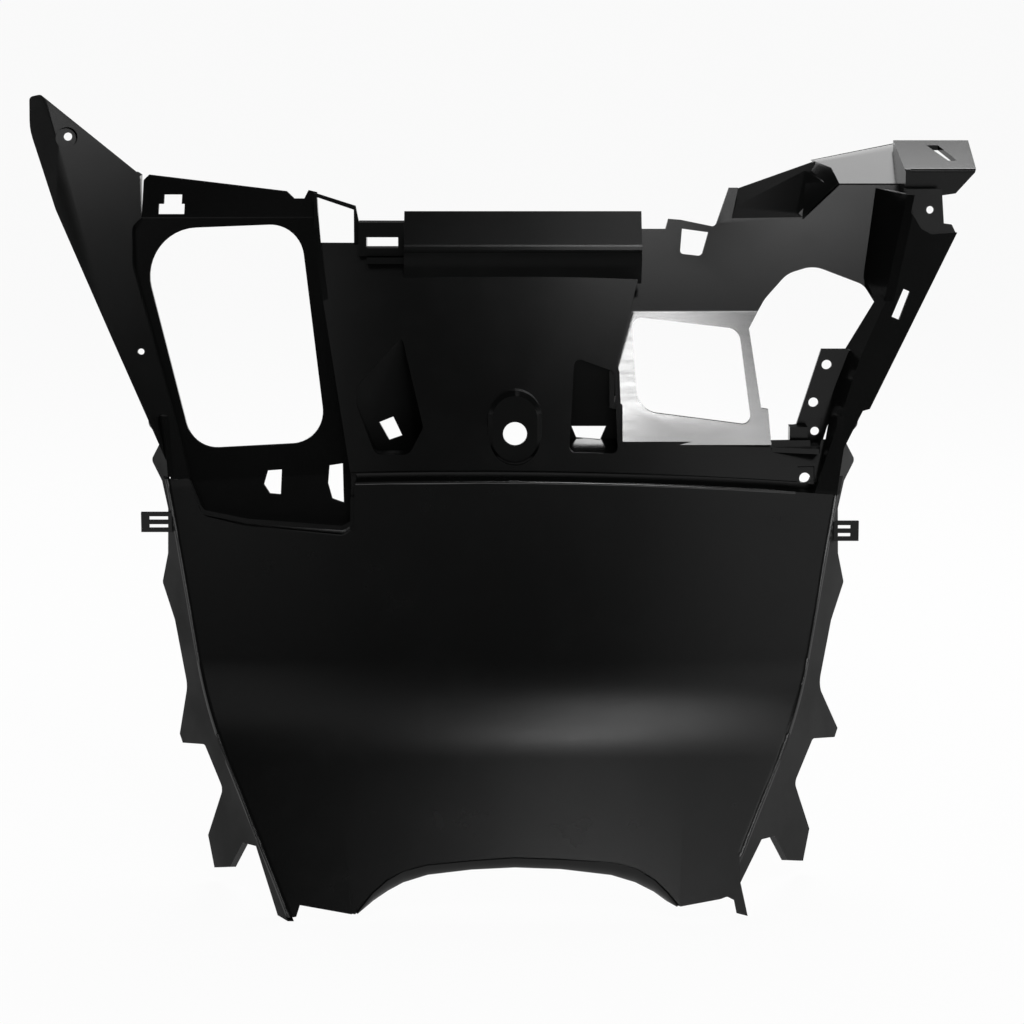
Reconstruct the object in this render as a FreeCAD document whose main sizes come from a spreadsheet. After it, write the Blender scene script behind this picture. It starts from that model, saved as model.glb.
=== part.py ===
"""Scooter center inner cover: one moulded black plastic panel.

Frame: X to the viewer's right, Y away from the rider, Z up, origin at the middle
of the bolt hole, on the flat face of its boss. Millimetres.
"""
import FreeCAD
import Part
import Sketcher
import os
import re

V = FreeCAD.Vector

SIZES = {
    # walls
    "wall": 2.5,
    "panel_wall": 3.2,
    "joint_inset": 1,
    # lower panel
    "crown_radius": 1600,
    "panel_offset": -6,
    "panel_half_width": 170,
    "side_flare": 30,
    "panel_top_y": -11.6,
    "panel_top_z": -22,
    "panel_lean_upper": 18,
    "panel_lean_lower": 42,
    "bend_drop": 109.8,
    "bend_radius": 120,
    "panel_drop": 204,
    "groove_gap": 3.2,
    "groove_depth": 7,
    "seam_radius": 2040,
    "seam_x": -18,
    "seam_z": -22.1,
    "edge_round": 3.5,
    "crease_top_z": -160,
    "crease_depth": 1.3,
    "tab_shift": 5.9,
    "tongue_y": -7.5,
    # middle panel
    "mid_lean": 20,
    "mid_seat": 8,
    "bolt_hole_radius": 6,
    "boss_width": 27,
    "boss_height": 38,
    "boss_rise": 2.5,
    "boss_depth": 14,
    "boss_chamfer": 2.4,
    # left frame
    "frame_y": 14,
    "frame_lean": 13,
    "frame_fold_z": 105,
    "frame_flange_lean": 35,
    "frame_flange_rise": 24,
    # wing and arm
    "edge_y": -1,
    "edge_lean": 8,
    "wing_y": 102.1,
    "wing_turn": 29.8,
    "wing_lean": 21.5,
    "wing_crease_x": -187.6,
    "wing_crease_slope": -0.2877,
    "wing_facet_turn": 11,
    "wing_sink": 1.4,
    "ridge_foot_x": 171,
    "ridge_slope": 0.22,
    "ridge_chamfer": 3.5,
    # right pocket
    "ring_y": 6.8,
    "ring_lean": 31.1,
    "back_fold_z": 57,
    "back_lean": 20,
    "back_top_z": 120,
    "back_flange_lean": 64,
    "back_flange_rise": 20,
    "bracket_y": 22,
    "inner_flare": 0.25,
}

doc = FreeCAD.newDocument("inner_cover")
sheet = doc.addObject("Spreadsheet::Sheet", "Sizes")
rows = [0]


def put(name, number):
    """Writes one driving size into the sheet under its own name."""
    rows[0] += 1
    sheet.set("A%d" % rows[0], name)
    sheet.set("B%d" % rows[0], str(number))
    sheet.setAlias("B%d" % rows[0], name)


for size_name, size_value in SIZES.items():
    put(size_name, size_value)
sheet.recompute()


def bound(text):
    """Turns a formula of size names into one that reads the sheet."""
    return re.sub(r"\b([a-z]\w*)\b(?!\()", r"Sizes.\1", text)


def value(text):
    return float(sheet.evalExpression(bound(text)))


# Views in which the sketches are drawn: front (X, Z), side (Y, Z) and plan (X, Y).
VIEWS = {
    "front": FreeCAD.Rotation(V(1, 0, 0), 90),
    "side": FreeCAD.Rotation(V(1, 1, 1), 120),
    "plan": FreeCAD.Rotation(),
}


def draw(sketch, name, corners):
    """Adds one closed loop of straight sides to a sketch and ties each corner to the sheet.

    Gives back the corners that are to be rounded, each with its radius.
    """
    formulas, points, rounds = [], [], []
    for i, corner in enumerate(corners):
        row = []
        for part, entry in zip(("across", "up", "round"), corner):
            if not isinstance(entry, str):
                cell = "%s_%d_%s" % (name, i + 1, part)
                put(cell, entry)
                row.append((cell, float(entry)))
            else:
                row.append((entry, value(entry)))
        formulas.append(row)
        points.append(V(row[0][1], row[1][1], 0))
        if len(row) > 2:
            rounds.append((points[-1], row[2][1]))
    count = len(points)
    lines = [Part.LineSegment(points[i], points[(i + 1) % count]) for i in range(count)]
    first = sketch.addGeometry(lines, False)[0]
    ties = []
    for i in range(count):
        before, after = first + (i - 1) % count, first + i
        ties.append(Sketcher.Constraint("Coincident", before, 2, after, 1))
    for i, row in enumerate(formulas):
        ties.append(Sketcher.Constraint("DistanceX", -1, 1, first + i, 1, row[0][1]))
        ties.append(Sketcher.Constraint("DistanceY", -1, 1, first + i, 1, row[1][1]))
    numbers = sketch.addConstraint(ties)
    for i, row in enumerate(formulas):
        sketch.setExpression("Constraints[%d]" % numbers[count + 2 * i], bound(row[0][0]))
        sketch.setExpression("Constraints[%d]" % numbers[count + 2 * i + 1], bound(row[1][0]))
    return rounds


def sketch_of(name, view, *loops, at=None):
    """A sketch in one of the three views, with its corners to round; at gives its place."""
    sketch = doc.addObject("Sketcher::SketchObject", name)
    sketch.Placement = FreeCAD.Placement(V(), VIEWS[view])
    for axis, text in (at or {}).items():
        sketch.setExpression("Placement.Base.%s" % axis, bound(text))
    rounds = []
    for i, loop in enumerate(loops):
        rounds += draw(sketch, name if i == 0 else "%s_%d" % (name, i + 1), loop)
    return sketch, rounds


def rounded(body, sketch, rounds, direction):
    """Rounds the edges of a body that start from the given corners of its sketch."""
    if not rounds:
        return body
    sheet.recompute()
    sketch.recompute()
    body.recompute()
    edges = []
    for corner, radius in rounds:
        point = sketch.Placement.multVec(corner)
        for number, edge in enumerate(body.Shape.Edges):
            if direction is None:
                curved = edge.Curve.TypeId == "Part::GeomCircle"
                found = curved and edge.distToShape(Part.Vertex(point))[0] < 1e-4
            else:
                ends = [vertex.Point.distanceToLine(point, direction) for vertex in edge.Vertexes]
                found = max(ends) < 1e-4
            if found:
                edges.append((number + 1, radius, radius))
    made = doc.addObject("Part::Fillet", body.Name + "_rounded")
    made.Base = body
    made.Edges = edges
    return made


def circle_sketch(name, across, up, radius):
    """A circle drawn in the front view."""
    sketch = doc.addObject("Sketcher::SketchObject", name)
    sketch.Placement = FreeCAD.Placement(V(), VIEWS["front"])
    row = []
    for part, entry in zip(("across", "up", "radius"), (across, up, radius)):
        if not isinstance(entry, str):
            put("%s_%s" % (name, part), entry)
            entry = "%s_%s" % (name, part)
        row.append(entry)
    sheet.recompute()
    x, z, r = [value(text) for text in row]
    ring = sketch.addGeometry(Part.Circle(V(x, z, 0), V(0, 0, 1), r), False)
    for kind, level, text in (("DistanceX", x, row[0]), ("DistanceY", z, row[1])):
        size = sketch.addConstraint(Sketcher.Constraint(kind, -1, 1, ring, 3, level))
        sketch.setExpression("Constraints[%d]" % size, bound(text))
    size = sketch.addConstraint(Sketcher.Constraint("Radius", ring, r))
    sketch.setExpression("Constraints[%d]" % size, bound(row[2]))
    return sketch, []


def prism(name, drawing, direction, low, high):
    """Pushes a sketch along a direction, from low to high, and rounds its corners."""
    sketch, rounds = drawing
    body = doc.addObject("Part::Extrusion", name)
    body.Base = sketch
    body.DirMode = "Custom"
    body.Dir = V(0, 0, 1)
    for axis, text in zip("xyz", direction):
        body.setExpression("Dir.%s" % axis, bound(str(text)))
    body.Solid = True
    body.setExpression("LengthFwd", bound(str(high)))
    body.setExpression("LengthRev", bound("-(%s)" % low))
    return rounded(body, sketch, rounds, V(*[value(str(text)) for text in direction]))


def along_y(name, low, high, *loops):
    return prism(name, sketch_of(name + "_front", "front", *loops), (0, 1, 0), low, high)


def along_x(name, low, high, *loops):
    return prism(name, sketch_of(name + "_side", "side", *loops), (1, 0, 0), low, high)


def along_z(name, low, high, *loops):
    return prism(name, sketch_of(name + "_plan", "plan", *loops), (0, 0, 1), low, high)


def crowned(name, *loops):
    """Turns a side profile about the far upright axis that gives the panel its crown."""
    sketch, rounds = sketch_of(name + "_profile", "side", *loops, at={"x": "panel_offset"})
    body = doc.addObject("Part::Revolution", name)
    body.Source = sketch
    body.Axis = V(0, 0, 1)
    body.setExpression("Base.x", bound("panel_offset"))
    body.setExpression("Base.y", bound("crown_radius"))
    body.Angle = 14.5
    body.Symmetric = True
    body.Solid = True
    return rounded(body, sketch, rounds, None)


def fuse(name, *bodies):
    made = doc.addObject("Part::MultiFuse", name)
    made.Shapes = list(bodies)
    return made


def common(name, *bodies):
    made = doc.addObject("Part::MultiCommon", name)
    made.Shapes = list(bodies)
    return made


def cut(name, base, *tools):
    made = doc.addObject("Part::Cut", name)
    made.Base = base
    made.Tool = tools[0] if len(tools) == 1 else fuse(name + "_tools", *tools)
    return made


def edges_eased(kind, body, size, wanted):
    """Rounds or chamfers the edges of a body whose ends and middle all pass a test."""
    doc.recompute()
    edges = []
    for number, edge in enumerate(body.Shape.Edges):
        first, last = edge.ParameterRange
        places = [edge.valueAt(first + share * (last - first)) for share in (0.02, 0.5, 0.98)]
        if all(wanted(place) for place in places):
            edges.append((number + 1, size, size))
    made = doc.addObject(kind, body.Name + "_edges")
    made.Base = body
    made.Edges = edges
    return made


def sloped(start, lean, z):
    """Depth at height z of a wall that leans back by an angle from a depth at height 0."""
    return "%s + (%s) * tan(%s)" % (start, z, lean)


# Lower panel: two straight stretches joined by a wide hollow bend, with a return at the top
# that closes the step up to the middle panel.
bend_z = "panel_top_z - bend_drop"
bend_y = "panel_top_y - bend_drop * tan(panel_lean_upper)"
foot_z = "panel_top_z - panel_drop"
foot_y = "%s - (panel_drop - bend_drop) * tan(panel_lean_lower)" % bend_y
head_z = "seam_z + joint_inset"
head_y = "panel_top_y + (%s - panel_top_z) * tan(panel_lean_upper)" % head_z
panel_skin = crowned("panel_skin", [
    (head_y, head_z),
    (bend_y, bend_z, "bend_radius"),
    (foot_y, foot_z),
    (foot_y + " + panel_wall", foot_z),
    (bend_y + " + panel_wall", bend_z, "bend_radius"),
    (head_y + " + panel_wall", head_z),
])


def before_panel(name, depth):
    """Everything in front of the panel, and as much of its wall as the depth says."""
    return crowned(name, [
        (head_y + " + " + depth, head_z),
        (bend_y + " + " + depth, bend_z, "bend_radius"),
        (foot_y + " + " + depth, foot_z),
        (foot_y + " + " + depth, foot_z + " - 40"),
        (foot_y + " - 60", foot_z + " - 40"),
        (foot_y + " - 60", head_z),
    ])


panel_front_space = before_panel("panel_front_space", "joint_inset")
side_front_space = before_panel("side_front_space", "panel_wall - joint_inset / 5")


def half_width(y):
    return "panel_half_width + (%s) * tan(side_flare)" % y


shell_plan = along_z("shell_plan", -260, 40, [
    ("panel_offset - (%s)" % half_width(-150), -150),
    ("panel_offset + (%s)" % half_width(-150), -150),
    ("panel_offset + (%s)" % half_width(60), 60),
    ("panel_offset - (%s)" % half_width(60), 60),
])
panel_outline = along_y("panel_outline", -200, 80, [
    (-190, -22.5),
    (-163, -22.5),
    (-156, -39.5, 5),
    (-133, -44.5, 8),
    (-86, -48.5, 3),
    (-80, -45, 2),
    (-80, head_z),
    (175, head_z),
    (175, -212),
    (105, -212),
    (103.5, -206.5),
    (78, -210),
    (62, -193.5, 40),
    (0, -190, 200),
    (-60, -195, 45),
    (-76, -213),
    (-102.5, -209.5),
    (-104, -214),
    (-110, -215),
    (-190, -215),
])


def under_seam(name, offset):
    """Everything below an arc that keeps one distance above the seam."""
    arc = circle_sketch(name + "_arc", "seam_x", "seam_z - seam_radius", "seam_radius + (%s)" % offset)
    return prism(name, arc, (0, 1, 0), -200, 80)


groove_front = along_y("groove_front", -200, 60, [
    (-80, -60),
    (153, -60),
    (153, 0),
    (-80, 0),
])
seam_front = along_y("seam_front", -200, 60, [
    (-80, -60),
    (180, -60),
    (180, 0),
    (-80, 0),
])

# Between two creases the foot of the panel sinks in, from nothing to the crease's full depth.
crease_y = "%s - (%s - crease_top_z) * tan(panel_lean_lower)" % (bend_y, bend_z)
sunk_foot = common(
    "sunk_foot",
    crowned("sunk_reach", [
        (crease_y, "crease_top_z"),
        (foot_y + " + crease_depth", foot_z),
        (foot_y + " - 60", foot_z),
        (foot_y + " - 60", "crease_top_z"),
    ]),
    along_y("crease_outline", -200, 80, [
        (-86.4, "crease_top_z"),
        (82.8, "crease_top_z"),
        (78, -216),
        (-77, -216),
    ]),
)
panel_sharp = cut(
    "panel_sharp",
    common("panel_whole", panel_skin, shell_plan, panel_outline),
    cut("panel_head", seam_front, under_seam("panel_edge", "0")),
    sunk_foot,
)


def on_side_corner(place):
    """Whether a point lies where the panel's front meets one of its flared sides."""
    side = value("panel_half_width") + place.y * value("tan(side_flare)")
    if abs(abs(place.x - value("panel_offset")) - side) > 0.01:
        return False
    inward = 1 if place.x < value("panel_offset") else -1
    return panel_sharp.Shape.isInside(place + V(inward, 0.4 * value("panel_wall"), 0), 0.001, False)


side_round = min(value("edge_round"), 1.15 * value("panel_wall"))
panel = edges_eased("Part::Fillet", panel_sharp, side_round, on_side_corner)

# Foot at the lower right corner, turned out past the side.
right_foot = common("right_foot", panel_skin, along_y("right_foot_outline", -200, 80, [
    (108, -190),
    (107.6, -200, 6),
    (110.6, -214),
    (105.3, -212.8),
    (104.3, -207.7),
    (101.3, -206.4),
    (90, -207.9),
    (90, -190),
]))

# Groove between the two panels: a channel that follows the lower panel's top edge.
groove_y = "panel_top_y + panel_wall + groove_depth"


def groove_zone(name, front, back, top, base):
    """Part of the seam between two depths and between two heights above it."""
    reach = crowned(name + "_reach", [
        (front, "panel_top_z - 30"),
        (back, "panel_top_z - 30"),
        (back, "panel_top_z + 30"),
        (front, "panel_top_z + 30"),
    ])
    whole = common(name + "_whole", reach, groove_front, shell_plan, under_seam(name + "_top", top))
    return cut(name, whole, under_seam(name + "_base", base))


groove_hollow = groove_zone("groove_hollow", "panel_top_y - 60", groove_y, "groove_gap", "0")
groove_block = groove_zone(
    "groove_block", "panel_top_y + joint_inset", groove_y + " + wall", "groove_gap + wall", "-wall",
)

# Side walls, flared back from the panel's edges, with the fins and hanging tabs of their rear edge.
side_strips = along_z("side_strips", -260, 40, [
    ("panel_offset - (%s)" % half_width(-150), -150),
    ("panel_offset - (%s) + wall / cos(side_flare)" % half_width(-150), -150),
    ("panel_offset - (%s) + wall / cos(side_flare)" % half_width(60), 60),
    ("panel_offset - (%s)" % half_width(60), 60),
], [
    ("panel_offset + (%s)" % half_width(-150), -150),
    ("panel_offset + (%s)" % half_width(60), 60),
    ("panel_offset + (%s) - wall / cos(side_flare)" % half_width(60), 60),
    ("panel_offset + (%s) - wall / cos(side_flare)" % half_width(-150), -150),
])


def side_wall(name, low, high, shift, ledge_z, end_y, end_z):
    """One side wall, from its fins to its end; its two hanging tabs are shifted."""
    outline = along_x(name + "_outline", low, high, [
        (0, 9),
        (13, 9, 3),
        (17, 3, 3),
        (2, -3.5),
        (13, -15, 2),
        (2, -24),
        (-4, -37),
        (-3, -60),
        (3.5, -76, 2),
        (-9, -93, 6),
        (-21, -124, 10),
        ("-6 + " + shift, -151),
        ("-9 + " + shift, -155),
        ("-32 + " + shift, -150, 3),
        ("-50 + " + shift, -168, 4),
        ("-34 + " + shift, -196),
        ("-40 + " + shift, -211),
        ("-56 + " + shift, -206),
        ("-69 + " + shift, -190, 2),
        ("-82 + " + shift, -188),
        (end_y, end_z),
        (-142, end_z),
        (-62, -131),
        (-18, ledge_z),
        (-5, ledge_z),
    ])
    return cut(name, common(name + "_whole", side_strips, outline), side_front_space)


left_side = side_wall("left_side", -260, "panel_offset", "(0 - tab_shift)", "-25", "-108", "-216.5")
right_side = side_wall("right_side", "panel_offset", 260, "tab_shift", "-32", "-100", "-207")

# Slotted tongues that stand out from both side walls.
left_edge = "panel_offset - (%s)" % half_width("tongue_y")
right_edge = "panel_offset + (%s)" % half_width("tongue_y")


def frame_of(across_1, across_2, top, base):
    """The four corners of a rectangle."""
    return [(across_1, top), (across_2, top), (across_2, base), (across_1, base)]


tongues = along_y(
    "tongues", "tongue_y", "tongue_y + wall",
    frame_of(left_edge + " - 15.3", left_edge + " + 3.7", -38.5, -48.5),
    frame_of(left_edge + " - 11.3", left_edge + " - 1.8", -40.5, -42.5),
    frame_of(left_edge + " - 11.3", left_edge + " - 1.8", -44.5, -46.5),
    frame_of(right_edge + " - 3.7", right_edge + " + 12.3", -43, -53),
    frame_of(right_edge + " + 1.8", right_edge + " + 8.3", -45, -47),
    frame_of(right_edge + " + 1.8", right_edge + " + 8.3", -49, -51),
)

# Middle panel: a crowned sheet that leans back, with the lower bar of the right pocket.
mid_low, mid_high = "panel_top_z - 10", "104"


def mid_y(z):
    return "(%s + mid_seat) * tan(mid_lean)" % z


mid_skin = crowned("mid_skin", [
    (mid_y(mid_low), mid_low),
    (mid_y(mid_high), mid_high),
    (mid_y(mid_high) + " + wall / cos(mid_lean)", mid_high),
    (mid_y(mid_low) + " + wall / cos(mid_lean)", mid_low),
])
mid_front_space = crowned("mid_front_space", [
    (mid_y("-30") + " + joint_inset", "-30"),
    (mid_y("125") + " + joint_inset", "125"),
    (-60, "125"),
    (-60, "-30"),
])
mid_outline = along_y("mid_outline", -60, 80, [
    (-99.8, 92),
    (-97.5, 66.5),
    (-82, -22),
    (-80, -32),
    (154, -32),
    (160, -4.5),
    (54, -4.5),
    (54, 13),
    (50, 14),
    (50, 29),
    (64, 81),
    (64, 84),
    (-56, 84),
    (-56, 103),
    (-79, 103),
    (-79, 92),
])

# Left pocket of the middle panel: a wedge with an upright floor that turns away to the right.
left_floor = "wedge_floor_y + %s * tan(wedge_turn)"
put("wedge_floor_y", 40.9)
put("wedge_turn", 19.4)
sheet.recompute()
wedge_hollow = common(
    "wedge_hollow",
    along_y("wedge_inner", -20, 60, [
        (-57, 46.5, 1.5),
        (-79.5, 22, 2),
        (-79.5, 13, 2),
        (-70, -10.5, 5),
        (-53, -10.5, 5),
        (-46, 2.5, 3),
    ]),
    along_z("wedge_depth", -40, 80, [
        (-100, -40),
        (-20, -40),
        (-20, left_floor % "-20"),
        (-100, left_floor % "-100"),
    ]),
)
wedge_block = common(
    "wedge_block",
    along_y("wedge_outer", -20, 60, [
        (-56, 51, 2),
        (-82, 23, 4),
        (-82, 12.5, 4),
        (-71.5, -13, 7),
        (-51.5, -13, 7),
        (-43.5, 2, 5),
    ]),
    along_z("wedge_depth_outer", -40, 80, [
        (-100, -40),
        (-20, -40),
        (-20, left_floor % "-20" + " + wall / cos(wedge_turn)"),
        (-100, left_floor % "-100" + " + wall / cos(wedge_turn)"),
    ]),
)

# Right pocket of the middle panel: upright floor at one depth.
put("slot_floor_y", 17)
sheet.recompute()
slot_hollow = along_y("slot_hollow", -30, "slot_floor_y", [
    (30, 36.5, 3),
    (50, 29.5, 3),
    (51.5, -10, 3),
    (27, -9.5, 3),
])
slot_block = along_y("slot_block", -30, "slot_floor_y + wall", [
    (27.5, 40, 5),
    (52.5, 32, 5),
    (54, -12.5, 5),
    (24.5, -12, 5),
])

# Bolt boss: an upright oval cup whose face stands proud above and is sunk below.
def boss_oval(inset):
    """Corners of the boss's outline, drawn in by an inset, with the rounds that make it an oval."""
    side = "boss_width / 2 - %s" % inset
    low = "boss_rise - boss_height / 2 + %s" % inset
    high = "boss_rise + boss_height / 2 - %s" % inset
    turn = side + " - 0.01"
    return [("-(%s)" % side, low, turn), (side, low, turn), (side, high, turn), ("-(%s)" % side, high, turn)]


def on_boss_face(place):
    return abs(place.y) < 0.001


boss_solid = along_y("boss_solid", 0, "boss_depth", boss_oval("0"))
boss_crown = edges_eased("Part::Chamfer", boss_solid, value("boss_chamfer"), on_boss_face)
boss_cup = cut("boss_cup", boss_crown, along_y("boss_hollow", "wall", 60, boss_oval("wall")))
boss_ring = along_y("boss_ring", -15, 1, boss_oval("0"), boss_oval("joint_inset"))
boss_skirt = cut("boss_skirt", boss_ring, mid_front_space)
boss_core = along_y("boss_core", -40, 60, boss_oval("joint_inset"))

mid_foot = under_seam("mid_foot", "groove_gap + joint_inset")
mid = cut("mid", common("mid_sheet", mid_skin, mid_outline), boss_core, wedge_hollow, slot_hollow, mid_foot)
wedge = cut("wedge", wedge_block, wedge_hollow, mid_front_space)
slot_cup = cut("slot_cup", slot_block, slot_hollow, mid_front_space)
groove = cut("groove", groove_block, groove_hollow, cut(
    "groove_front_space",
    common("groove_front_whole", mid_front_space, groove_front),
    under_seam("groove_middle", "groove_gap / 2"),
))

# Sill that slopes down to the front of the right pocket.
slot_sill = along_x("slot_sill", 27.5, 51, [
    ("slot_floor_y + joint_inset", -4.5),
    (1, -10.2),
    ("slot_floor_y + joint_inset", -11),
])

# Rolled lip along the top of the middle panel.
lip = along_x("lip", -56, 64, [
    (33, 72),
    (23.5, 86.5, 11),
    (38.5, 108.2),
    (41, 106.8),
    (26.6, 86.5, 8.5),
    (36, 74),
])

# Left frame: a sheet round the big opening, folded back along its top.
fold_y = sloped("frame_y", "frame_lean", "frame_fold_z")
frame_thick = "wall / cos(frame_lean)"
frame_skin = along_x("frame_skin", -260, 0, [
    (sloped("frame_y", "frame_lean", "-58"), "-58"),
    (fold_y, "frame_fold_z", 3),
    (fold_y + " + frame_flange_rise * tan(frame_flange_lean)", "frame_fold_z + frame_flange_rise"),
    (fold_y + " + frame_flange_rise * tan(frame_flange_lean) + 3.4", "frame_fold_z + frame_flange_rise"),
    (fold_y + " + 2.6", "frame_fold_z + 0.6", 5),
    (sloped("frame_y", "frame_lean", "-58") + " + " + frame_thick, "-58"),
])
frame = common("frame", frame_skin, along_y("frame_outline", -60, 90, [
    (-189, 123),
    (-186.5, 125.5),
    (-116, 117.5),
    (-112, 114),
    (-107, 114),
    (-105, 118),
    (-100.5, 117),
    (-98, 90),
    (-82, -22),
    (-79, -56),
    (-156, -56),
    (-165, -22),
    (-176, 19),
    (-194, 82),
    (-195, 101),
    (-189, 105),
], [
    (-191.5, 98.8, 24),
    (-108.8, 102, 17),
    (-94.8, -6, 16),
    (-162.3, -9.5, 16),
], [
    (-180.5, 106.5),
    (-167.5, 106.5),
    (-167.5, 111.5),
    (-169, 111.5),
    (-169, 116),
    (-178, 116),
    (-178, 111.5),
    (-180.5, 111.5),
], [
    (-124.5, -20),
    (-117.5, -19.5),
    (-118, -32),
    (-123.5, -31.5),
    (-126.5, -27),
], [
    (-93.5, -17.5),
    (-86.8, -16.5),
    (-86.2, -36),
    (-92, -34),
    (-94.2, -26.5),
]))
frame_back_space = along_x("frame_back_space", -260, 0, [
    (sloped("frame_y", "frame_lean", "-80") + " + " + frame_thick, "-80"),
    (120, "-80"),
    (120, "frame_fold_z + 30"),
    (fold_y + " + 30 * tan(frame_flange_lean) + 3", "frame_fold_z + 30"),
    (fold_y + " + 2.6", "frame_fold_z + 0.6"),
])

# Wall between the middle panel's left edge and the frame behind it, and the floor of the recess
# that the panel's top left corner leaves open.
left_cheek = cut("left_cheek", along_y("left_cheek_strip", -40, 80, [
    (-102, 117),
    (-97.5, 66.5),
    (-82, -22),
    (-82, -46),
    (-79.5, -46),
    (-79.5, -22),
    (-94.5, 66.5),
    (-99, 117),
]), mid_front_space, panel_front_space, frame_back_space)
recess_strip = sketch_of("recess_strip", "front", [
    (-165.5, -22.5),
    (-158.5, -41.5, 7),
    (-133.5, -47, 10),
    (-85, -51, 5),
    (-77, -45.5),
    (-80, -45, 2),
    (-86, -48.5, 3),
    (-133, -44.5, 8),
    (-156, -39.5, 5),
    (-163, -22.5),
])
recess_floor = cut(
    "recess_floor",
    prism("recess_floor_sheet", recess_strip, (0, 1, -0.3), -20, 60),
    panel_front_space,
    frame_back_space,
    along_y("recess_end", -60, 0, [
        (-180, -23),
        (-150, -23),
        (-150, 0),
        (-180, 0),
    ]),
)

# Left wing: a flat sheet turned towards the middle, with a short step back to the frame.
wing_slab = prism("wing_slab", sketch_of("wing_slab_plan", "plan", [
    (-270, "wing_y - 270 * tan(wing_turn)"),
    (-130, "wing_y - 130 * tan(wing_turn)"),
    (-130, "wing_y - 130 * tan(wing_turn) + wall / cos(wing_turn)"),
    (-270, "wing_y - 270 * tan(wing_turn) + wall / cos(wing_turn)"),
]), (0, "tan(wing_lean)", 1), -80, 240)
wing_blank = common("wing_blank", wing_slab, along_y("wing_outline", -80, 120, [
    (-172, -22),
    (-173.5, -15),
    (-229.3, 110.7, 60),
    (-242.5, 150, 30),
    (-243, 166, 2),
    (-238, 167, 2),
    (-190, 126, 3),
    (-189, 105),
    (-193, 101, 3),
    (-192.5, 82),
    (-174.5, 19),
    (-163, -23),
]))


def before_wing(name, depth):
    """Everything in front of the wing, and as much of its wall as the depth says."""
    return prism(name, sketch_of(name + "_plan", "plan", [
        (-270, "wing_y - 270 * tan(wing_turn) + " + depth),
        (-130, "wing_y - 130 * tan(wing_turn) + " + depth),
        (-130, -120),
        (-270, -120),
    ]), (0, "tan(wing_lean)", 1), -80, 240)


wing_front_space = before_wing("wing_front_space", "0")
crease_run = ("wing_crease_slope", "wing_crease_slope * tan(wing_turn) + tan(wing_lean)", 1)
crease_at = "wing_y + wing_crease_x * tan(wing_turn)"
wing_facet = prism("wing_facet", sketch_of("wing_facet_plan", "plan", [
    ("wing_crease_x", crease_at),
    ("wing_crease_x - 45", crease_at + " - 45 * tan(wing_turn) - 10"),
    ("wing_crease_x - 45", crease_at + " - 45 * tan(wing_turn - wing_facet_turn)"),
]), crease_run, 40, 190)
wing_sunk = common(
    "wing_sunk",
    before_wing("wing_sink_space", "wing_sink"),
    prism("wing_sink_round", circle_sketch("wing_sink_ring", -225, 145.6, 5.2), (0, 1, 0), -80, 80),
)
wing = cut("wing", wing_blank, wing_facet, wing_sunk)
wing_step = cut("wing_step", along_y("wing_step_strip", -40, 90, [
    (-163, -23),
    (-174.5, 19),
    (-192.5, 82),
    (-193, 101),
    (-189, 105),
    (-190, 125.5),
    (-192.5, 127),
    (-191.5, 106),
    (-195.5, 102),
    (-195, 81.5),
    (-177, 18.5),
    (-165.5, -23),
]), wing_front_space, frame_back_space)

# Right side: the sloping ring round the window, the back wall above it and its folded top.
back_y = sloped("ring_y", "ring_lean", "back_fold_z")
back_top_y = back_y + " + (back_top_z - back_fold_z) * tan(back_lean)"
right_skin = along_x("right_skin", 0, 260, [
    (sloped("ring_y", "ring_lean", "-6"), "-6"),
    (back_y, "back_fold_z", 6),
    (back_top_y, "back_top_z", 2),
    (back_top_y + " + back_flange_rise * tan(back_flange_lean)", "back_top_z + back_flange_rise"),
    (back_top_y + " + back_flange_rise * tan(back_flange_lean) + 4", "back_top_z + back_flange_rise - 1.5"),
    (back_top_y + " + 2.9", "back_top_z - 0.8", 4),
    (back_y + " + wall / cos(back_lean)", "back_fold_z - 0.5", 6),
    (sloped("ring_y", "ring_lean", "-6") + " + wall / cos(ring_lean)", "-6"),
])
right_back_space = along_x("right_back_space", 0, 260, [
    (sloped("ring_y", "ring_lean", "-40") + " + wall / cos(ring_lean)", "-40"),
    (160, "-40"),
    (160, "back_top_z + 40"),
    (back_top_y + " + 2.9 + 16", "back_top_z + 40"),
    (back_top_y + " + 2.9", "back_top_z"),
    (back_y + " + wall / cos(back_lean)", "back_fold_z"),
])
right_wall = common("right_wall", right_skin, along_y("right_outline", -60, 140, [
    (54, -6),
    (128.5, -6),
    (127.5, 10.5),
    (124, 11),
    (119, 48.8),
    (127.3, 63, 20),
    (139, 75.5, 14),
    (152.5, 79.5, 16),
    (178, 70, 9),
    (186, 57),
    (204, 110),
    (204, 139),
    (154, 130.5),
    (165, 119.5),
    (148, 103.5),
    (111, 103),
    (114.5, 118),
    (109.8, 118),
    (102.5, 98.5, 2),
    (85, 102),
    (78.5, 102.5),
    (77, 97.5),
    (62, 97.5),
    (62, 81),
    (48, 29),
    (48, 14),
    (52, 13),
], [
    (59, 54.5, 5),
    (114, 48.5, 7),
    (119, 3, 4),
    (62, 9.8, 11),
], [
    (85.5, 97.8),
    (99, 96),
    (95.3, 84, 2),
    (84.3, 85.2, 2),
]))

right_front_space = along_x("right_front_space", 0, 260, [
    (sloped("ring_y", "ring_lean", "-40") + " + joint_inset", "-40"),
    (back_y + " + joint_inset", "back_fold_z"),
    (back_top_y + " + joint_inset", "back_top_z"),
    (back_top_y + " + back_flange_rise * tan(back_flange_lean) + joint_inset", "back_top_z + back_flange_rise"),
    (-60, "back_top_z + back_flange_rise"),
    (-60, "-40"),
])

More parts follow.
